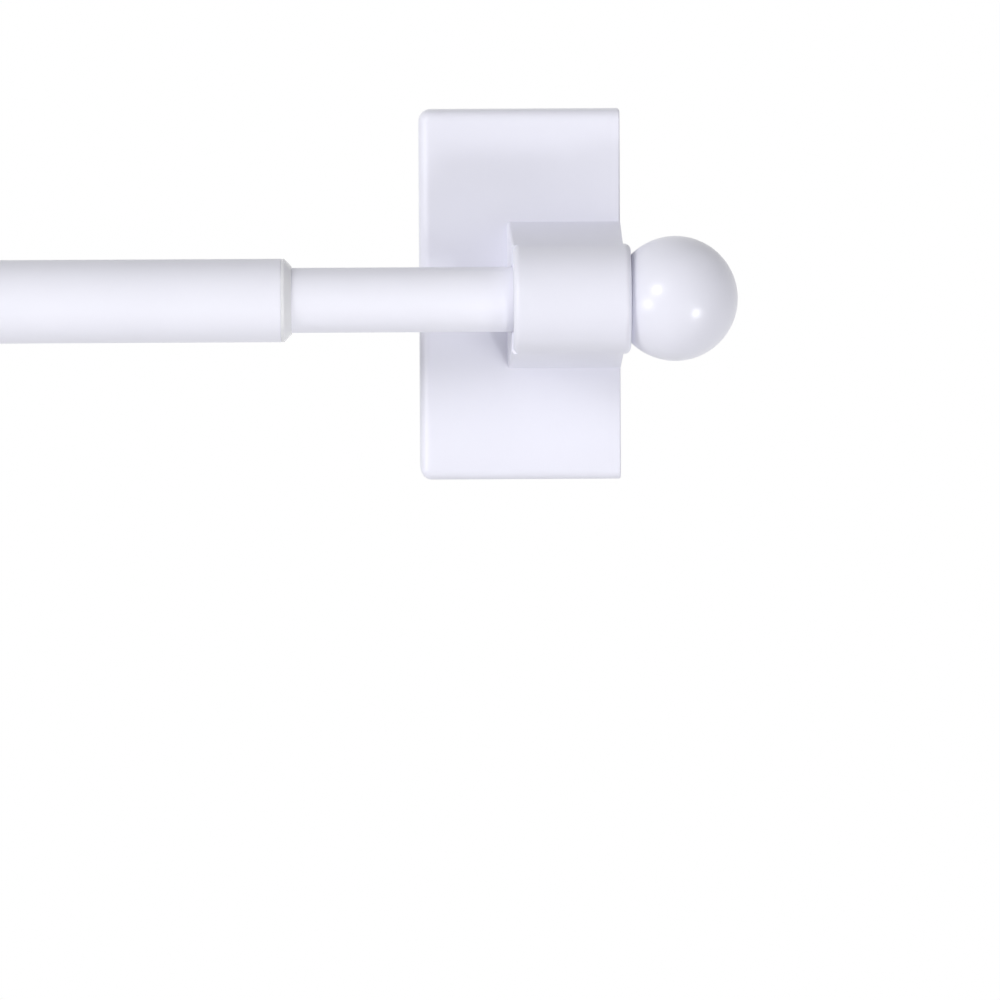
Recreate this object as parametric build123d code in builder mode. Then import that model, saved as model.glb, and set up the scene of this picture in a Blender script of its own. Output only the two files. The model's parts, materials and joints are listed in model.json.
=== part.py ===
from build123d import *
import math
import os

# Magnetic curtain rod: two telescoping steel tubes on two moulded brackets.
# Magnets in the brackets hold it to a steel door.
# A ball finial is screwed to each end, through the bracket's nose, into a plug in the tube.
# Millimetres. +X runs along the rod to the right, +Y towards the door, +Z up.
# The origin is the middle of the left bracket's pad, so the door's surface is the plane Y = 0.

# Tubes
outer_tube_diameter = 12.7
outer_tube_length = 350.0
inner_tube_diameter = 9.9
tube_wall = 0.5
inner_tube_shown = 33.5         # bare inner tube between the collar and the right bracket
closed_collar_gap = 0.4         # left between collar and bracket when the rod is pushed closed
closed_bush_gap = 4.0           # left between guide bush and left plug when the rod is pushed closed

# Bracket plate and the magnet stack in its pocket
plate_width = 31.1
plate_height = 57.4
plate_draft = 1.0               # degrees
plate_corner_radius = 1.9
plate_edge_radius = 1.6
plate_outer_edge_radius = 0.3
plate_front_wall = 2.0
pocket_wall = 1.7
pocket_corner_radius = 1.5
keeper_thickness = 1.0
magnet_thickness = 4.3
magnet_spacing = 1.0
pad_thickness = 1.0
pad_proud = 0.3                 # how far the pad stands out of the plate's rim

# Bracket stem and nose
axis_to_door = 26.0
stem_length = 17.0
stem_root_height = 22.6
stem_draft = 1.5                # degrees, on the side that the tube enters
stem_edge_radius = 0.5          # above and below the side that the tube enters
stem_wall = 2.0
nose_wall = 2.0                 # round the larger tube
nose_overhang = 1.15            # past the outer side of the stem
nose_inset = 0.25               # behind the side of the stem that the tube enters
nose_end_wall = 2.5
nose_rim_radius = 1.0
mouth_chamfer = 0.3

# End collar, guide bush and end plugs
collar_band = 0.5
collar_chamfer = 1.1
collar_sleeve = 12.0
collar_lip = 0.15               # thickness left at the tip of the chamfer
collar_edge_radius = 0.12       # on the band's two rims
bush_head = 12.0
bush_spigot = 10.0
bush_bore_diameter = 6.0
bush_slot_width = 1.2
bush_slot_depth = 8.0
plug_flange = 1.0
plug_length = 11.0

# Finial
ball_diameter = 19.05
ball_flat_distance = 6.75       # from the ball's centre to its flat
ball_flat_edge = 0.25           # rounding where the flat meets the ball
stud_diameter = 5.0
stud_in_ball = 8.0
stud_in_plug = 10.0
stud_chamfer = 0.6

# Clearances
bore_clearance = 0.05           # tube in the bracket's bore, on the radius
slide_clearance = 0.08          # inner tube in the collar, guide bush in the outer tube, on the radius
thread_clearance = 0.05         # stud in the plug, on the radius
seat_clearance = 0.02           # pressed pieces, on the radius
stud_hole_clearance = 0.3       # stud in the bracket's end wall, on the radius
end_clearance = 0.1             # plug to the bottom of the bore
finial_clearance = 0.05         # ball flat to the bracket's nose
pocket_clearance = 0.2          # magnet stack to the pocket's sides
cut_overrun = 1.0               # how far a cut runs past the faces that it opens

# Radii worked out from the sizes above
outer_tube_radius = outer_tube_diameter / 2
outer_tube_bore = outer_tube_radius - tube_wall
inner_tube_radius = inner_tube_diameter / 2
inner_tube_bore = inner_tube_radius - tube_wall
nose_radius = outer_tube_radius + bore_clearance + nose_wall
ball_radius = ball_diameter / 2
stud_radius = stud_diameter / 2

# Planes across the bracket, counted from the door
axis_y = -axis_to_door
rim_y = -pad_proud
magnet_back_y = -pad_thickness
keeper_back_y = magnet_back_y - magnet_thickness
pocket_floor_y = keeper_back_y - keeper_thickness
plate_front_y = pocket_floor_y - plate_front_wall
stem_reach = plate_front_y - axis_y
pocket_width = plate_width - 2 * pocket_wall
pocket_height = plate_height - 2 * pocket_wall
stack_width = pocket_width - 2 * pocket_clearance
stack_height = pocket_height - 2 * pocket_clearance
stack_corner_radius = pocket_corner_radius - pocket_clearance

# Places along the rod, from left to right
nose_length = stem_length + nose_overhang
plug_depth = nose_end_wall + end_clearance           # from the nose's outer face to the plug's flange
tube_end_depth = plug_depth + plug_flange            # from the nose's outer face to the tube's end
left_plate_x = 0.0
left_nose_x = left_plate_x - plate_width / 2 - nose_overhang
outer_tube_left_x = left_nose_x + tube_end_depth
outer_tube_right_x = outer_tube_left_x + outer_tube_length
collar_tip_x = outer_tube_right_x + collar_band + collar_chamfer
right_nose_x = collar_tip_x + inner_tube_shown + nose_length
right_plate_x = right_nose_x - nose_overhang - plate_width / 2
inner_tube_right_x = right_nose_x - tube_end_depth
closing_travel = inner_tube_shown - closed_collar_gap
bush_left_x = outer_tube_left_x + plug_length + closed_bush_gap + closing_travel
inner_tube_left_x = bush_left_x + bush_head

# The flared stem leaves the nose along two tangents and widens towards the plate by this angle
root_half_height = stem_root_height / 2
root_distance = math.hypot(stem_reach, root_half_height)
stem_flare = math.atan2(root_half_height, stem_reach) - math.asin(nose_radius / root_distance)
stem_front_y = axis_y - nose_radius * math.sin(stem_flare)
front_half_height = nose_radius * math.cos(stem_flare)

# Turned pieces are drawn on a plane through the rod's axis, along the rod and away from it
rod_axis = Axis((0, axis_y, 0), (1, 0, 0))
rod_plane = Plane(origin=(0, axis_y, 0), x_dir=(1, 0, 0), z_dir=(0, -1, 0))


def end_plane(nose_x, outward):
    """Plane through the rod's axis whose first axis points out of the nose's outer face."""
    return Plane(origin=(nose_x, axis_y, 0), x_dir=(outward, 0, 0), z_dir=(0, -1, 0))


def back_plane(plate_x, y):
    """Plane parallel to the door, seen from the room, with Z up."""
    return Plane(origin=(plate_x, y, 0), x_dir=(1, 0, 0), z_dir=(0, -1, 0))


def save(part, name):
    part.label = name
    export_step(part, f"parts/{name}.step")


def turned(plane, outline):
    """Solid of revolution about the rod's axis, from (distance along, radius) corners."""
    with BuildPart() as piece:
        with BuildSketch(plane):
            with BuildLine():
                Polyline(*outline, close=True)
            make_face()
        revolve(axis=rod_axis)
    return piece.part


def bracket(plate_x, outward, tube_radius):
    """Moulded bracket: drafted plate, flared stem and nose, bored for the tube and cored from behind."""
    outer_side_x = plate_x + outward * plate_width / 2
    stem_inner_x = outer_side_x - outward * stem_length
    bore_radius = tube_radius + bore_clearance
    across = {"x_dir": (0, 1, 0), "z_dir": (outward, 0, 0)}
    with BuildPart() as body:
        # The plate has draft on three sides, and its outer side is cut square
        overrun = plate_corner_radius + rim_y - plate_front_y
        with BuildSketch(back_plane(plate_x, rim_y)):
            with Locations((outward * overrun / 2, 0)):
                RectangleRounded(plate_width + overrun, plate_height, plate_corner_radius)
        extrude(amount=rim_y - plate_front_y, taper=plate_draft)
        split(bisect_by=Plane(origin=(outer_side_x, 0, 0), z_dir=(outward, 0, 0)), keep=Keep.BOTTOM)
        front_edges = body.faces().sort_by(Axis.Y)[0].edges().sort_by(Axis.X, reverse=outward < 0)
        fillet(front_edges[:-1], radius=plate_edge_radius)
        outer_side = body.faces().sort_by(Axis.X, reverse=outward < 0)[-1]
        fillet(outer_side.edges().sort_by(Axis.Y)[:-1], radius=plate_outer_edge_radius)

        # The stem's flared sides run from a root in the plate's front wall to the tangents of the nose
        root_y = plate_front_y + plate_front_wall / 2
        with BuildSketch(Plane(origin=(stem_inner_x, 0, 0), **across)):
            with BuildLine():
                Polyline((root_y, root_half_height), (plate_front_y, root_half_height),
                         (stem_front_y, front_half_height), (stem_front_y, -front_half_height),
                         (plate_front_y, -root_half_height), (root_y, -root_half_height), close=True)
            make_face()
        extrude(amount=stem_length)
        draft(body.faces().sort_by_distance((stem_inner_x, axis_y, 0))[0],
              neutral_plane=Plane(origin=(0, axis_y, 0), z_dir=(0, -1, 0)), angle=stem_draft)
        inner_face = body.faces().sort_by_distance((stem_inner_x, axis_y, 0))[0]
        fillet(inner_face.edges().sort_by(Axis.Y)[1:-1], radius=stem_edge_radius)

        # The nose is a cylinder along the stem's front, with both rims rounded
        with BuildSketch(end_plane(outer_side_x + outward * nose_overhang, outward)) as nose:
            with BuildLine():
                Polyline((0, 0), (0, nose_radius), (nose_inset - nose_length, nose_radius),
                         (nose_inset - nose_length, 0), close=True)
            make_face()
            fillet(nose.vertices().group_by(Axis.Y)[-1], radius=nose_rim_radius)
        revolve(axis=rod_axis)

        # One turned cut makes the blind bore for the tube, its lead-in and the stud's hole in the end wall
        lead_in = bore_radius + mouth_chamfer
        stud_hole = stud_radius + stud_hole_clearance
        with BuildSketch(end_plane(outer_side_x + outward * nose_overhang, outward)):
            with BuildLine():
                Polyline((cut_overrun, 0), (cut_overrun, stud_hole), (-nose_end_wall, stud_hole),
                         (-nose_end_wall, bore_radius), (mouth_chamfer - nose_length, bore_radius),
                         (-nose_length, lead_in), (-nose_length - cut_overrun, lead_in),
                         (-nose_length - cut_overrun, 0), close=True)
            make_face()
        revolve(axis=rod_axis, mode=Mode.SUBTRACT)

        # Pocket for the magnet stack, and the core that keeps the stem's walls even
        with BuildSketch(back_plane(plate_x, rim_y)):
            RectangleRounded(pocket_width, pocket_height, pocket_corner_radius)
        extrude(amount=rim_y - pocket_floor_y, mode=Mode.SUBTRACT)
        core_front_y = axis_y + bore_radius + stem_wall
        core_root = root_half_height - stem_wall / math.cos(stem_flare)
        core_back = core_root + plate_front_wall * math.tan(stem_flare)
        core_front = core_root - (plate_front_y - core_front_y) * math.tan(stem_flare)
        with BuildSketch(Plane(origin=(stem_inner_x + outward * stem_wall, 0, 0), **across)):
            with BuildLine():
                Polyline((pocket_floor_y, core_back), (core_front_y, core_front),
                         (core_front_y, -core_front), (pocket_floor_y, -core_back), close=True)
            make_face()
        extrude(amount=stem_length - 2 * stem_wall, mode=Mode.SUBTRACT)
    return body.part


def pocket_sheet(plate_x, front_y, thickness):
    """Sheet that lies in the bracket's pocket: the keeper plate or the pad."""
    with BuildPart() as sheet:
        with BuildSketch(back_plane(plate_x, front_y + thickness)):
            RectangleRounded(stack_width, stack_height, stack_corner_radius)
        extrude(amount=thickness)
    return sheet.part


def magnet(plate_x, above):
    """Ferrite block in the upper or lower half of the pocket."""
    block_height = (stack_height - magnet_spacing) / 2
    with BuildPart() as block:
        with BuildSketch(back_plane(plate_x, magnet_back_y)):
            with Locations((0, above * (block_height + magnet_spacing) / 2)):
                RectangleRounded(stack_width, block_height, stack_corner_radius)
        extrude(amount=magnet_thickness)
    return block.part


def end_plug(nose_x, outward, tube_radius):
    """Flanged plug pressed into the tube's end, with the hole for the finial's stud."""
    hole = stud_radius + thread_clearance
    body = tube_radius - tube_wall - seat_clearance
    seat = -tube_end_depth
    return turned(end_plane(nose_x, outward),
                  [(-plug_depth, hole), (-plug_depth, tube_radius), (seat, tube_radius), (seat, body),
                   (seat - plug_length, body), (seat - plug_length, hole)])


def finial_stud(nose_x, outward):
    """Stud moulded into the ball, which passes the nose's end wall and screws into the plug."""
    tip = -plug_depth - stud_in_plug
    head = finial_clearance + stud_in_ball
    with BuildPart() as stud:
        with BuildSketch(end_plane(nose_x, outward)):
            with BuildLine():
                Polyline((tip, 0), (tip, stud_radius), (head, stud_radius), (head, 0), close=True)
            make_face()
        revolve(axis=rod_axis)
        chamfer(stud.edges().filter_by(GeomType.CIRCLE), length=stud_chamfer)
    return stud.part


def finial(nose_x, outward):
    """Ball with a flat that faces the bracket's nose and a blind hole for the stud."""
    flat = finial_clearance
    centre = flat + ball_flat_distance
    flat_radius = math.sqrt(ball_radius ** 2 - ball_flat_distance ** 2)
    with BuildPart() as ball:
        with BuildSketch(end_plane(nose_x, outward)):
            with BuildLine():
                Line((flat, 0), (flat, flat_radius))
                ThreePointArc((flat, flat_radius), (centre, ball_radius), (centre + ball_radius, 0))
                Line((centre + ball_radius, 0), (flat, 0))
            make_face()
        revolve(axis=rod_axis)
        fillet(ball.edges().filter_by(GeomType.CIRCLE).sort_by_distance((nose_x, axis_y, 0))[0],
               radius=ball_flat_edge)
        with BuildSketch(Plane(origin=(nose_x + outward * flat, axis_y, 0), z_dir=(outward, 0, 0))):
            Circle(stud_radius + seat_clearance)
        extrude(amount=stud_in_ball, mode=Mode.SUBTRACT)
    return ball.part


def tube(left_x, right_x, radius):
    return turned(rod_plane, [(left_x, radius - tube_wall), (left_x, radius),
                              (right_x, radius), (right_x, radius - tube_wall)])


def end_collar():
    """Clear collar pushed into the outer tube's mouth, with a chamfered nose round the inner tube."""
    bore = inner_tube_radius + slide_clearance
    sleeve = outer_tube_bore - seat_clearance
    sleeve_end_x = outer_tube_right_x - collar_sleeve
    band_end_x = outer_tube_right_x + collar_band
    with BuildPart() as collar:
        with BuildSketch(rod_plane):
            with BuildLine():
                Polyline((sleeve_end_x, bore), (sleeve_end_x, sleeve), (outer_tube_right_x, sleeve),
                         (outer_tube_right_x, outer_tube_radius), (band_end_x, outer_tube_radius),
                         (collar_tip_x, bore + collar_lip), (collar_tip_x, bore), close=True)
            make_face()
        revolve(axis=rod_axis)
        rims = collar.edges().filter_by(GeomType.CIRCLE).group_by(SortBy.RADIUS)[-1]
        fillet(rims, radius=collar_edge_radius)
    return collar.part


def guide_bush():
    """Bush on the inner tube's hidden end, its head split into four springy fingers."""
    head = outer_tube_bore - slide_clearance
    spigot = inner_tube_bore - seat_clearance
    bore = bush_bore_diameter / 2
    with BuildPart() as bush:
        with BuildSketch(rod_plane):
            with BuildLine():
                Polyline((bush_left_x, bore), (bush_left_x, head), (inner_tube_left_x, head),
                         (inner_tube_left_x, spigot), (inner_tube_left_x + bush_spigot, spigot),
                         (inner_tube_left_x + bush_spigot, bore), close=True)
            make_face()
        revolve(axis=rod_axis)
        with BuildSketch(Plane(origin=(bush_left_x, axis_y, 0), x_dir=(0, 1, 0), z_dir=(1, 0, 0))):
            Rectangle(2 * outer_tube_radius, bush_slot_width)
            Rectangle(bush_slot_width, 2 * outer_tube_radius)
        extrude(amount=bush_slot_depth, mode=Mode.SUBTRACT)
    return bush.part


os.makedirs("parts", exist_ok=True)

save(tube(outer_tube_left_x, outer_tube_right_x, outer_tube_radius), "outer_tube")
save(tube(inner_tube_left_x, inner_tube_right_x, inner_tube_radius), "inner_tube")
save(end_collar(), "end_collar")
save(guide_bush(), "guide_bush")

ends = [("left", -1, left_plate_x, left_nose_x, outer_tube_radius),
        ("right", 1, right_plate_x, right_nose_x, inner_tube_radius)]
for side, outward, plate_x, nose_x, tube_radius in ends:
    save(bracket(plate_x, outward, tube_radius), f"{side}_bracket")
    save(pocket_sheet(plate_x, pocket_floor_y, keeper_thickness), f"{side}_keeper_plate")
    save(magnet(plate_x, 1), f"{side}_upper_magnet")
    save(magnet(plate_x, -1), f"{side}_lower_magnet")
    save(pocket_sheet(plate_x, magnet_back_y, pad_thickness), f"{side}_pad")
    save(end_plug(nose_x, outward, tube_radius), f"{side}_end_plug")
    save(finial_stud(nose_x, outward), f"{side}_finial_stud")
    save(finial(nose_x, outward), f"{side}_finial")

finial_reach = finial_clearance + ball_flat_distance + ball_radius
overall_length = right_nose_x - left_nose_x + 2 * finial_reach
print(f"right pad centre at x = {right_plate_x:.3f}")
print(f"length over the finials {overall_length:.2f}, pushed closed {overall_length - closing_travel:.2f}")
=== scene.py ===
import json
import math

import bmesh
import bpy
from mathutils import Matrix, Vector

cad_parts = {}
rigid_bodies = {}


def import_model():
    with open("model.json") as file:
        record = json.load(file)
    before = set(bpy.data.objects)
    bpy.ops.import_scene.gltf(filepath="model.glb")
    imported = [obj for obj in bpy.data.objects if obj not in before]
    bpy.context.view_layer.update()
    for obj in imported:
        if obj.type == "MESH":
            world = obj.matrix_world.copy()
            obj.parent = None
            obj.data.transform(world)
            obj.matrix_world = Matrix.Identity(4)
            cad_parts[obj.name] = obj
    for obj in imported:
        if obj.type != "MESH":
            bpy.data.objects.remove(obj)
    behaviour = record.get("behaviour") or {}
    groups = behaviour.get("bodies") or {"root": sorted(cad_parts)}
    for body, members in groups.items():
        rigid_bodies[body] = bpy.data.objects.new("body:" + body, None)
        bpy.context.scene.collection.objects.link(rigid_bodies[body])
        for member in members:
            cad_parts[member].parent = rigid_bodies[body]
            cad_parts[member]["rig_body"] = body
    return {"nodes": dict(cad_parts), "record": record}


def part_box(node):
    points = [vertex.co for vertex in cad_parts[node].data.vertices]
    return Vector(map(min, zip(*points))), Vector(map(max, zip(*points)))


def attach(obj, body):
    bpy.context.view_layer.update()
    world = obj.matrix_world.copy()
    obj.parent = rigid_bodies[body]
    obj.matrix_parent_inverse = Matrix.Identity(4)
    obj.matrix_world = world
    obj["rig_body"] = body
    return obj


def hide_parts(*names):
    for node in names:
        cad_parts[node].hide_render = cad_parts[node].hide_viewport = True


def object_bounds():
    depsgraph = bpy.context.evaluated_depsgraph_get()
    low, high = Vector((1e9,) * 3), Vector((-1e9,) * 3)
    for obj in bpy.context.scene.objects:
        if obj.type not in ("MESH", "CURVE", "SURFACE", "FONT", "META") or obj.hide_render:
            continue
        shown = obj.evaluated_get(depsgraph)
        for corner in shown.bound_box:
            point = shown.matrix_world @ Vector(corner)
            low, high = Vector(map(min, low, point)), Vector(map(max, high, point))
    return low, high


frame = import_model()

cad_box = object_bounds()
MM = 0.001
SIDES = ("left", "right")

# The rod's axis runs along X, midway through the outer tube
OUTER_TUBE_LOW, OUTER_TUBE_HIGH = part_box("outer_tube")
ROD_AXIS = (OUTER_TUBE_LOW + OUTER_TUBE_HIGH) / 2
TUBE_WALL = 0.5 * MM
TUBE_EDGE_RADIUS = 0.12 * MM
TUBE_SEGMENTS = 144

# Coarse metric thread of the finials' studs
THREAD_PITCH = 0.8 * MM
THREAD_DEPTH = 0.45 * MM
THREAD_CHAMFER = 0.6 * MM
THREAD_SEGMENTS = 40
THREAD_ROWS_PER_PITCH = 8
# Share of the pitch by which the rolled sheet runs past the stud's ends, where it closes on the axis
THREAD_OVERRUN = 0.01

PAD_EDGE_RADIUS = 0.2 * MM

ROUNDING_STEPS = 3
WELD_DISTANCE = 0.002 * MM

# Edges that turn by more than this many degrees show as edges, and all others are shaded smooth
TUBE_SHARP_ANGLE = 60
THREAD_SHARP_ANGLE = 35
PAD_SHARP_ANGLE = 40
# The pad's rim has edges that turn by more than the first. Edges under the second only divide a flat face
PAD_RIM_ANGLE = 60
PAD_FLAT_ANGLE = 1

# A noise texture's values mostly lie between these two
NOISE_LOW, NOISE_HIGH = 0.3, 0.7


def linear(hex_colour):
    """sRGB hex colour as linear RGBA."""
    values = [int(hex_colour[i:i + 2], 16) / 255 for i in (1, 3, 5)]
    return [v / 12.92 if v <= 0.04045 else ((v + 0.055) / 1.055) ** 2.4 for v in values] + [1.0]


def add(tree, kind, inputs=None, **settings):
    """Adds a node with its settings. An input takes a value, a socket, or a node for its first output."""
    made = tree.nodes.new(kind)
    for name, value in settings.items():
        setattr(made, name, value)
    for key, value in (inputs or {}).items():
        if isinstance(value, bpy.types.Node):
            value = value.outputs[0]
        if isinstance(value, bpy.types.NodeSocket):
            tree.links.new(value, made.inputs[key])
        else:
            made.inputs[key].default_value = value
    return made


def material(name):
    """New material with an empty tree: returns it with its tree and a coordinate socket in metres."""
    made = bpy.data.materials.new(name)
    made.use_nodes = True
    tree = made.node_tree
    tree.nodes.clear()
    return made, tree, add(tree, "ShaderNodeTexCoord").outputs["Object"]


def finished(made, look):
    """The material, with one shader that has this look."""
    shader = add(made.node_tree, "ShaderNodeBsdfPrincipled", look)
    add(made.node_tree, "ShaderNodeOutputMaterial", {"Surface": shader})
    return made


def mottled(tree, place, cell, low, high):
    """Value that wanders between two values in patches of one cell size."""
    noise = add(tree, "ShaderNodeTexNoise", {"Vector": place, "Scale": 1 / cell, "Detail": 3.0})
    return add(tree, "ShaderNodeMapRange", {"Value": noise, "From Min": NOISE_LOW, "From Max": NOISE_HIGH,
                                            "To Min": low, "To Max": high})


def mottled_colour(tree, place, cell, low, high):
    """Colour that wanders between two hex colours in patches of one cell size."""
    share = mottled(tree, place, cell, 0.0, 1.0)
    mix = add(tree, "ShaderNodeMix", {"Factor": share, "A": linear(low), "B": linear(high)}, data_type="RGBA")
    return mix.outputs["Result"]


def grained(tree, place, cell, detail, strength, depth):
    """Normal of a surface with a fine, uneven relief of one cell size and depth."""
    noise = add(tree, "ShaderNodeTexNoise", {"Vector": place, "Scale": 1 / cell, "Detail": detail})
    return add(tree, "ShaderNodeBump", {"Height": noise, "Strength": strength, "Distance": depth})


def powder_coat():
    """White powder coat on steel tube, baked: semi-gloss, with the faint orange peel of the melted powder."""
    made, tree, place = material("white_powder_coat_on_steel")
    return finished(made, {
        "Base Color": mottled_colour(tree, place, 22 * MM, "#F2F2FC", "#F4F4FE"),
        "Roughness": mottled(tree, place, 9 * MM, 0.40, 0.46),
        "IOR": 1.5,
        "Normal": grained(tree, place, 1.6 * MM, detail=1.0, strength=0.06, depth=0.05 * MM),
    })


def moulded_abs():
    """White ABS, moulded in a lightly blasted tool: satin, with a fine even grain, drawn coarser to show."""
    made, tree, place = material("white_moulded_abs")
    return finished(made, {
        "Base Color": mottled_colour(tree, place, 14 * MM, "#E9E9F4", "#EBEBF6"),
        "Roughness": mottled(tree, place, 6 * MM, 0.38, 0.42),
        "IOR": 1.53,
        "Normal": grained(tree, place, 0.35 * MM, detail=2.0, strength=0.05, depth=0.02 * MM),
    })


def lacquered_ball():
    """White plastic ball under clear lacquer: a faintly wavy gloss that mirrors each lamp as a small spot."""
    made, tree, place = material("white_lacquered_ball")
    return finished(made, {
        "Base Color": mottled_colour(tree, place, 8 * MM, "#E8E8F3", "#EAEAF5"),
        "Roughness": mottled(tree, place, 4 * MM, 0.28, 0.30),
        "IOR": 1.5,
        "Normal": grained(tree, place, 3.0 * MM, detail=1.0, strength=0.03, depth=0.05 * MM),
    })


def translucent_pvc():
    """Natural PVC, moulded and polished: milky, a little see-through, with a gloss that lines its rims."""
    made, tree, place = material("translucent_moulded_pvc")
    return finished(made, {
        "Base Color": mottled_colour(tree, place, 3 * MM, "#F3F3F8", "#F7F7FB"),
        "Roughness": mottled(tree, place, 2 * MM, 0.14, 0.20),
        "IOR": 1.53,
        "Transmission Weight": 0.15,
    })


def natural_nylon():
    """Natural nylon, moulded: milky off-white with a soft sheen and a fine grain, drawn coarser to show."""
    made, tree, place = material("natural_moulded_nylon")
    return finished(made, {
        "Base Color": mottled_colour(tree, place, 4 * MM, "#E4E1D4", "#EBE8DC"),
        "Roughness": mottled(tree, place, 3 * MM, 0.42, 0.50),
        "IOR": 1.53,
        "Normal": grained(tree, place, 0.4 * MM, detail=2.0, strength=0.1, depth=0.02 * MM),
    })


def zinc_plate(name, cell):
    """Bright zinc on steel: blue-grey metal with the cloudy patches of its passivation."""
    made, tree, place = material(name)
    return finished(made, {
        "Base Color": mottled_colour(tree, place, cell, "#B4B8BC", "#CBCED0"),
        "Metallic": 1.0,
        "Roughness": mottled(tree, place, cell / 2, 0.28, 0.42),
    })


def sintered_ferrite():
    """Ferrite, pressed and sintered: near-black and matt, with fine pits, drawn coarser to show."""
    made, tree, place = material("sintered_ferrite")
    return finished(made, {
        "Base Color": mottled_colour(tree, place, 1.5 * MM, "#2B2B2D", "#3A3A3C"),
        "Roughness": mottled(tree, place, 1.0 * MM, 0.60, 0.75),
        "IOR": 2.0,
        "Normal": grained(tree, place, 0.3 * MM, detail=4.0, strength=0.4, depth=0.05 * MM),
    })


def pebbled_rubber():
    """Rubber sheet, calendered: dark grey and matt, with a fine pebble that grips the door."""
    made, tree, place = material("pebbled_sheet_rubber")
    pebble = add(tree, "ShaderNodeTexVoronoi", {"Vector": place, "Scale": 1 / (0.7 * MM)},
                 feature="SMOOTH_F1")
    bump = add(tree, "ShaderNodeBump", {"Height": pebble, "Strength": 0.5, "Distance": 0.08 * MM},
               invert=True)
    return finished(made, {
        "Base Color": mottled_colour(tree, place, 5 * MM, "#636366", "#6E6E71"),
        "Roughness": mottled(tree, place, 2 * MM, 0.70, 0.82),
        "IOR": 1.5,
        "Normal": bump,
    })


FINISHES = {
    "tube_paint": powder_coat(),
    "bracket_moulding": moulded_abs(),
    "finial_lacquer": lacquered_ball(),
    "clear_collar": translucent_pvc(),
    "nylon": natural_nylon(),
    "keeper_steel": zinc_plate("zinc_plated_sheet", 6 * MM),
    "stud_steel": zinc_plate("zinc_plated_thread", 2 * MM),
    "ferrite": sintered_ferrite(),
    "pad_rubber": pebbled_rubber(),
}
for row in frame["record"]["subparts"]:
    frame["nodes"][row["node"]].data.materials[0] = FINISHES[row["material_slot"]]


def shape_tree(name, lengths, counts):
    """New Geometry Nodes tree with a named input for each length and count: returns it with their sockets."""
    tree = bpy.data.node_groups.new(name, "GeometryNodeTree")
    for label in lengths:
        tree.interface.new_socket(label, in_out="INPUT", socket_type="NodeSocketFloat")
    for label in counts:
        tree.interface.new_socket(label, in_out="INPUT", socket_type="NodeSocketInt")
    tree.interface.new_socket("Geometry", in_out="OUTPUT", socket_type="NodeSocketGeometry")
    return tree, add(tree, "NodeGroupInput").outputs


def end_tree(tree, geometry, finish):
    """Ends a tree in plain, smooth geometry that carries its finish."""
    smooth = add(tree, "GeometryNodeSetShadeSmooth", {"Geometry": geometry})
    plain = add(tree, "GeometryNodeRealizeInstances", {"Geometry": smooth})
    dressed = add(tree, "GeometryNodeSetMaterial", {"Geometry": plain, "Material": finish})
    add(tree, "NodeGroupOutput", {"Geometry": dressed})


def grown(name, tree, sizes, sharp_angle):
    """Object whose plain mesh is what the tree gives for these sizes."""
    seed = bpy.data.objects.new(name + "_seed", bpy.data.meshes.new(name + "_seed"))
    bpy.context.scene.collection.objects.link(seed)
    modifier = seed.modifiers.new("shape", "NODES")
    modifier.node_group = tree
    for item in tree.interface.items_tree:
        if item.in_out == "INPUT":
            modifier[item.identifier] = sizes[item.name]
    depsgraph = bpy.context.evaluated_depsgraph_get()
    mesh = bpy.data.meshes.new_from_object(seed.evaluated_get(depsgraph))
    mesh.name = name
    mesh.set_sharp_from_angle(angle=math.radians(sharp_angle))
    bpy.data.objects.remove(seed)
    piece = bpy.data.objects.new(name, mesh)
    bpy.context.scene.collection.objects.link(piece)
    return piece


def drawn_tube_tree(finish):
    """Round tube along X: its wall's section, with broken edges, carried round a circle."""
    tree, size = shape_tree("drawn_tube", ("Left End", "Length", "Outer Diameter", "Wall", "Edge Radius"),
                            ("Segments",))
    outer_radius = add(tree, "ShaderNodeMath", {0: size["Outer Diameter"], 1: 2.0}, operation="DIVIDE")
    half_wall = add(tree, "ShaderNodeMath", {0: size["Wall"], 1: 2.0}, operation="DIVIDE")
    mid_radius = add(tree, "ShaderNodeMath", {0: outer_radius, 1: half_wall}, operation="SUBTRACT")
    ring = add(tree, "GeometryNodeCurvePrimitiveCircle", {
        "Resolution": size["Segments"], "Radius": mid_radius,
    }, mode="RADIUS")
    section = add(tree, "GeometryNodeCurvePrimitiveQuadrilateral", {
        "Width": size["Wall"], "Height": size["Length"],
    }, mode="RECTANGLE")
    eased = add(tree, "GeometryNodeFilletCurve", {
        "Curve": section, "Count": ROUNDING_STEPS, "Radius": size["Edge Radius"], "Limit Radius": True,
    }, mode="POLY")
    wall = add(tree, "GeometryNodeCurveToMesh", {"Curve": ring, "Profile Curve": eased})
    half_length = add(tree, "ShaderNodeMath", {0: size["Length"], 1: 2.0}, operation="DIVIDE")
    middle = add(tree, "ShaderNodeMath", {0: size["Left End"], 1: half_length}, operation="ADD")
    place = add(tree, "ShaderNodeCombineXYZ", {"X": middle, "Y": ROD_AXIS.y, "Z": ROD_AXIS.z})
    laid = add(tree, "GeometryNodeTransform", {"Geometry": wall, "Translation": place,
                                               "Rotation": (0.0, math.radians(90), 0.0)})
    end_tree(tree, laid, finish)
    return tree


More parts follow.
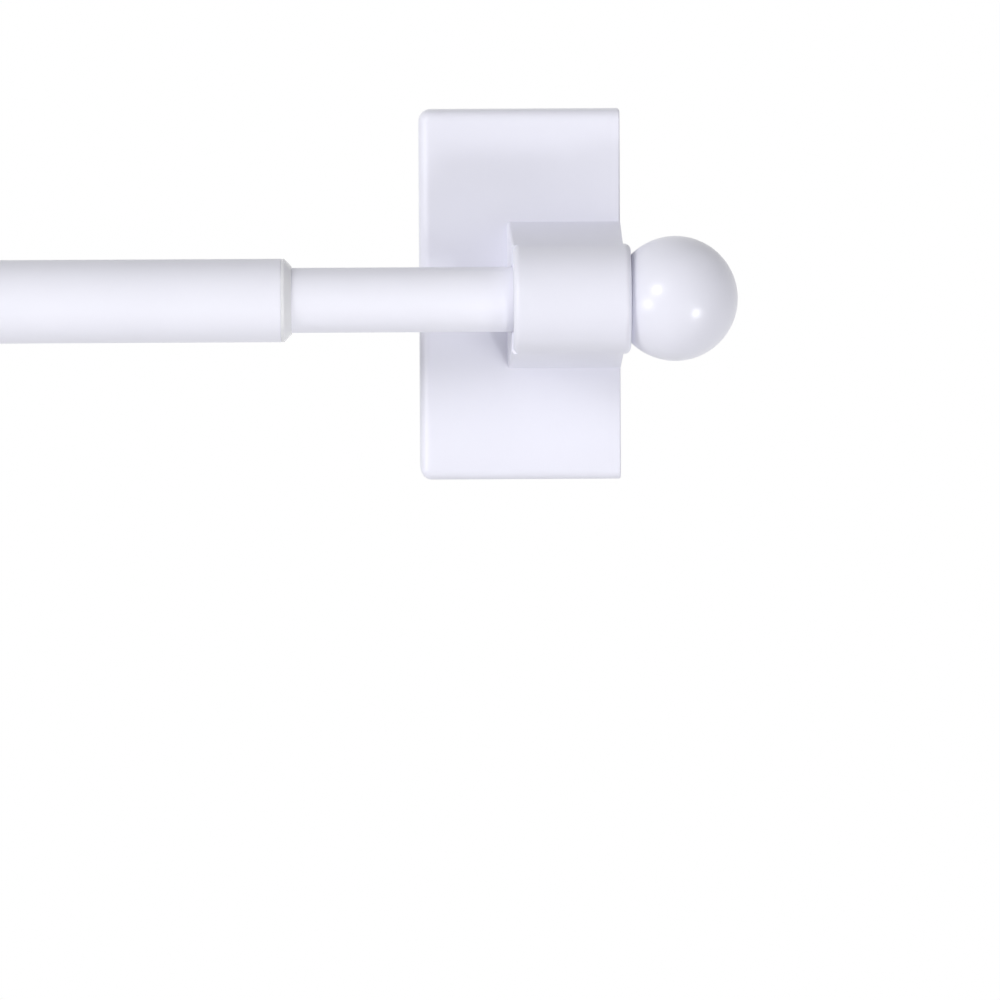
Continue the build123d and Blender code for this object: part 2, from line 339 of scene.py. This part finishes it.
def threaded_stud_tree(finish):
    """Stud along X: a sheet rolled round the axis to a right-hand V thread, and closed at its ends."""
    tree, size = shape_tree("threaded_stud", ("Left End", "Length", "Major Diameter", "Pitch", "Thread Depth",
                                              "Chamfer"), ("Segments", "Rows"))
    length, pitch = size["Length"], size["Pitch"]

    # The sheet is one unit square: X goes once round the stud, and Y goes along it
    sheet = add(tree, "GeometryNodeMeshGrid", {"Size X": 1.0, "Size Y": 1.0, "Vertices X": size["Segments"],
                                               "Vertices Y": size["Rows"]})
    spot = add(tree, "ShaderNodeSeparateXYZ", {"Vector": add(tree, "GeometryNodeInputPosition")})
    turn = add(tree, "ShaderNodeMath", {0: spot.outputs["X"], 1: 0.5}, operation="ADD")

    # Place along the stud, held at the ends, past which the sheet's first and last rows run
    overrun = add(tree, "ShaderNodeMath", {0: pitch, 1: THREAD_OVERRUN}, operation="MULTIPLY")
    first_row = add(tree, "ShaderNodeMath", {0: 0.0, 1: overrun}, operation="SUBTRACT")
    last_row = add(tree, "ShaderNodeMath", {0: length, 1: overrun}, operation="ADD")
    row = add(tree, "ShaderNodeMapRange", {"Value": spot.outputs["Y"], "From Min": -0.5, "From Max": 0.5,
                                           "To Min": first_row, "To Max": last_row})
    along = add(tree, "ShaderNodeClamp", {"Value": row, "Min": 0.0, "Max": length})
    on_stud = add(tree, "ShaderNodeMath", {0: row, 1: along, 2: 0.0}, operation="COMPARE")

    # The flanks climb from root to crest and back once in each pitch
    crest = add(tree, "ShaderNodeMath", {0: size["Major Diameter"], 1: 2.0}, operation="DIVIDE")
    root = add(tree, "ShaderNodeMath", {0: crest, 1: size["Thread Depth"]}, operation="SUBTRACT")
    pitches = add(tree, "ShaderNodeMath", {0: along, 1: pitch}, operation="DIVIDE")
    wound = add(tree, "ShaderNodeMath", {0: pitches, 1: turn}, operation="SUBTRACT")
    climb = add(tree, "ShaderNodeMath", {0: wound, 1: 0.5}, operation="PINGPONG")
    flank = add(tree, "ShaderNodeMapRange", {"Value": climb, "From Max": 0.5, "To Min": root,
                                             "To Max": crest})

    # The ends' chamfers cut the flanks, and the rows past the ends lie on the axis
    to_far_end = add(tree, "ShaderNodeMath", {0: length, 1: along}, operation="SUBTRACT")
    to_end = add(tree, "ShaderNodeMath", {0: along, 1: to_far_end}, operation="MINIMUM")
    tip = add(tree, "ShaderNodeMath", {0: crest, 1: size["Chamfer"]}, operation="SUBTRACT")
    chamfer = add(tree, "ShaderNodeMath", {0: tip, 1: to_end}, operation="ADD")
    cut = add(tree, "ShaderNodeMath", {0: flank, 1: chamfer}, operation="MINIMUM")
    radius = add(tree, "ShaderNodeMath", {0: cut, 1: on_stud}, operation="MULTIPLY")

    angle = add(tree, "ShaderNodeMath", {0: turn, 1: math.tau}, operation="MULTIPLY")
    flat = add(tree, "ShaderNodeCombineXYZ", {"X": along, "Y": radius})
    rolled = add(tree, "ShaderNodeVectorRotate", {"Vector": flat, "Angle": angle}, rotation_type="X_AXIS")
    stud = add(tree, "GeometryNodeSetPosition", {"Geometry": sheet, "Position": rolled})
    closed = add(tree, "GeometryNodeMergeByDistance", {"Geometry": stud, "Distance": WELD_DISTANCE})
    place = add(tree, "ShaderNodeCombineXYZ", {"X": size["Left End"], "Y": ROD_AXIS.y, "Z": ROD_AXIS.z})
    laid = add(tree, "GeometryNodeTransform", {"Geometry": closed, "Translation": place})
    end_tree(tree, laid, finish)
    return tree


def stand_for(piece, node):
    """The piece takes the place of a CAD node, on the node's body and with its finish."""
    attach(piece, frame["nodes"][node]["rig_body"])
    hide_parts(node)


tube_tree = drawn_tube_tree(FINISHES["tube_paint"])
for node in ("outer_tube", "inner_tube"):
    low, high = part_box(node)
    piece = grown("drawn_" + node, tube_tree, {
        "Left End": low.x, "Length": high.x - low.x, "Outer Diameter": high.z - low.z, "Wall": TUBE_WALL,
        "Edge Radius": TUBE_EDGE_RADIUS, "Segments": TUBE_SEGMENTS,
    }, TUBE_SHARP_ANGLE)
    stand_for(piece, node)

stud_tree = threaded_stud_tree(FINISHES["stud_steel"])
for side in SIDES:
    node = f"{side}_finial_stud"
    low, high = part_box(node)
    piece = grown(f"{side}_threaded_stud", stud_tree, {
        "Left End": low.x, "Length": high.x - low.x, "Major Diameter": high.z - low.z, "Pitch": THREAD_PITCH,
        "Thread Depth": THREAD_DEPTH, "Chamfer": THREAD_CHAMFER, "Segments": THREAD_SEGMENTS,
        "Rows": round((high.x - low.x) / THREAD_PITCH * THREAD_ROWS_PER_PITCH),
    }, THREAD_SHARP_ANGLE)
    stand_for(piece, node)


def rubber_pad(side):
    """Rubber sheet cut to the pad's outline, its edges softened by the cut."""
    mesh = bpy.data.meshes.new(f"{side}_rubber_pad")
    shell = bmesh.new()
    shell.from_mesh(frame["nodes"][f"{side}_pad"].data)
    bmesh.ops.remove_doubles(shell, verts=shell.verts, dist=WELD_DISTANCE)
    bmesh.ops.dissolve_limit(shell, angle_limit=math.radians(PAD_FLAT_ANGLE), verts=shell.verts,
                             edges=shell.edges)
    rim = [edge for edge in shell.edges if edge.calc_face_angle(0.0) > math.radians(PAD_RIM_ANGLE)]
    bmesh.ops.bevel(shell, geom=rim, offset=PAD_EDGE_RADIUS, offset_type="OFFSET", segments=ROUNDING_STEPS,
                    profile=0.5, affect="EDGES")
    for face in shell.faces:
        face.smooth = True
    shell.to_mesh(mesh)
    shell.free()
    mesh.set_sharp_from_angle(angle=math.radians(PAD_SHARP_ANGLE))
    mesh.materials.append(FINISHES["pad_rubber"])
    piece = bpy.data.objects.new(mesh.name, mesh)
    bpy.context.scene.collection.objects.link(piece)
    return piece


for side in SIDES:
    stand_for(rubber_pad(side), f"{side}_pad")

# Camera in front of the right end, a little above the rod and left of the pad's middle, behind a long lens
RIGHT_PAD_LOW, RIGHT_PAD_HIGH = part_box("right_pad")
CAMERA_LEFT_OF_PAD = 14.4 * MM
CAMERA_DISTANCE = 1209 * MM
CAMERA_HEIGHT = 44.15 * MM
CAMERA_YAW, CAMERA_PITCH, CAMERA_ROLL = (math.radians(a) for a in (0.523, -3.539, -0.28))
CAMERA_LENS = 285.8

camera_data = bpy.data.cameras.new("camera")
camera_data.lens = CAMERA_LENS
camera = bpy.data.objects.new("camera", camera_data)
bpy.context.scene.collection.objects.link(camera)
place = Vector(((RIGHT_PAD_LOW.x + RIGHT_PAD_HIGH.x) / 2 - CAMERA_LEFT_OF_PAD, ROD_AXIS.y - CAMERA_DISTANCE,
                CAMERA_HEIGHT))
ahead = Vector((math.sin(CAMERA_YAW) * math.cos(CAMERA_PITCH), math.cos(CAMERA_YAW) * math.cos(CAMERA_PITCH),
                math.sin(CAMERA_PITCH)))
level = Vector((math.cos(CAMERA_YAW), -math.sin(CAMERA_YAW), 0.0))
upright = level.cross(ahead)
right = math.cos(CAMERA_ROLL) * level + math.sin(CAMERA_ROLL) * upright
up = math.cos(CAMERA_ROLL) * upright - math.sin(CAMERA_ROLL) * level
camera.matrix_world = Matrix.Translation(place) @ Matrix((right, up, -ahead)).transposed().to_4x4()
bpy.context.scene.camera = camera

# Lamps as seen from the rod: degrees to the right of its front, degrees up, degrees wide, and strength.
# The softboxes shade the surfaces, and only the bulbs show in their gloss.
SOFTBOXES = {
    "softbox_upper_left": (-51, 15, 20, 0.75),
    "softbox_high_left": (-42, 23, 20, 0.60),
    "softbox_high": (-19, 23, 20, 0.13),
    "softbox_left": (-65, -4, 20, 0.18),
    "softbox_far_left": (-90, 15, 40, 0.17),
    "softbox_far_high": (-90, 60, 60, 0.13),
    "softbox_lower_right": (55, -25, 20, 0.42),
    "softbox_low": (26, -32, 7, 0.47),
    "softbox_front": (13, -10, 20, 0.37),
    "softbox_behind": (170, 0, 40, 0.60),
}
BULBS = {
    "bulb_upper_left": (-37, 17, 8, 0.95),
    "bulb_left": (-54, -8, 8, 0.60),
    "bulb_lower_right": (40, -24, 8, 0.90),
}


def hang_lamp(name, azimuth, elevation, width, strength):
    """Distant round lamp that shines on the rod from one direction."""
    across, rise = math.radians(azimuth), math.radians(elevation)
    towards = Vector((math.sin(across) * math.cos(rise), -math.cos(across) * math.cos(rise), math.sin(rise)))
    light = bpy.data.lights.new(name, "SUN")
    light.angle = math.radians(width)
    light.energy = strength
    lamp = bpy.data.objects.new(name, light)
    lamp.rotation_euler = towards.to_track_quat("Z", "Y").to_euler()
    bpy.context.scene.collection.objects.link(lamp)
    return lamp


for name, aim in SOFTBOXES.items():
    hang_lamp(name, *aim).visible_glossy = False
for name, aim in BULBS.items():
    hang_lamp(name, *aim).visible_diffuse = False


def seen_and_mirrored(tree):
    """Socket that is 1 for what the camera sees, and node that is 1 for what gloss and clear plastic show."""
    ray = add(tree, "ShaderNodeLightPath").outputs
    mirrored = add(tree, "ShaderNodeMath", {0: ray["Is Glossy Ray"], 1: ray["Is Transmission Ray"]},
                   operation="MAXIMUM")
    return ray["Is Camera Ray"], mirrored


# Strength of the world as a light
ROOM_LIGHT = 0.32


def white_room():
    """World that is white where it is seen, also by gloss and clear plastic, and softer as a light."""
    world = bpy.data.worlds.new("room")
    world.use_nodes = True
    tree = world.node_tree
    tree.nodes.clear()
    seen, mirrored = seen_and_mirrored(tree)
    share = add(tree, "ShaderNodeMath", {0: seen, 1: mirrored}, operation="MAXIMUM")
    lit = add(tree, "ShaderNodeBackground", {"Color": linear("#FFFFFF"), "Strength": ROOM_LIGHT})
    white = add(tree, "ShaderNodeBackground", {"Color": linear("#FFFFFF"), "Strength": 1.0})
    room = add(tree, "ShaderNodeMixShader", {0: share, 1: lit, 2: white})
    add(tree, "ShaderNodeOutputWorld", {"Surface": room})
    return world


bpy.context.scene.world = white_room()

# Round floor below the rod, whose fade starts and ends at these shares of its radius
FLOOR_DROP = 0.45
FLOOR_RADIUS = 1.6
FLOOR_SEGMENTS = 96
FLOOR_GLOW = 0.6
FLOOR_FADE_START, FLOOR_FADE_END = 0.3, 0.95


def pale_floor():
    """Matt pale floor that takes the rod's shadow and fades into the white ground towards its rim."""
    made, tree, place = material("pale_floor")
    distance = add(tree, "ShaderNodeVectorMath", {0: place}, operation="LENGTH").outputs["Value"]
    fade = add(tree, "ShaderNodeMapRange", {
        "Value": distance, "From Min": FLOOR_FADE_START * FLOOR_RADIUS,
        "From Max": FLOOR_FADE_END * FLOOR_RADIUS, "To Min": FLOOR_GLOW,
    }, interpolation_type="SMOOTHSTEP")
    seen, mirrored = seen_and_mirrored(tree)
    faded = add(tree, "ShaderNodeMath", {0: seen, 1: fade}, operation="MULTIPLY")
    share = add(tree, "ShaderNodeMath", {0: faded, 1: mirrored}, operation="MAXIMUM")
    matt = add(tree, "ShaderNodeBsdfDiffuse", {"Color": linear("#F7F7F8")})
    glow = add(tree, "ShaderNodeEmission", {"Color": linear("#FFFFFF"), "Strength": 1.0})
    mix = add(tree, "ShaderNodeMixShader", {0: share, 1: matt, 2: glow})
    add(tree, "ShaderNodeOutputMaterial", {"Surface": mix})
    made.cycles.emission_sampling = "NONE"
    return made


floor_mesh = bpy.data.meshes.new("floor")
disc = bmesh.new()
bmesh.ops.create_circle(disc, cap_ends=True, segments=FLOOR_SEGMENTS, radius=FLOOR_RADIUS)
disc.to_mesh(floor_mesh)
disc.free()
floor_mesh.materials.append(pale_floor())
floor = bpy.data.objects.new("floor", floor_mesh)
floor.location = ((cad_box[0].x + cad_box[1].x) / 2, ROD_AXIS.y, -FLOOR_DROP)
# The low lamps shine through the floor
floor.visible_shadow = False
bpy.context.scene.collection.objects.link(floor)

bpy.context.scene.view_settings.view_transform = "Standard"
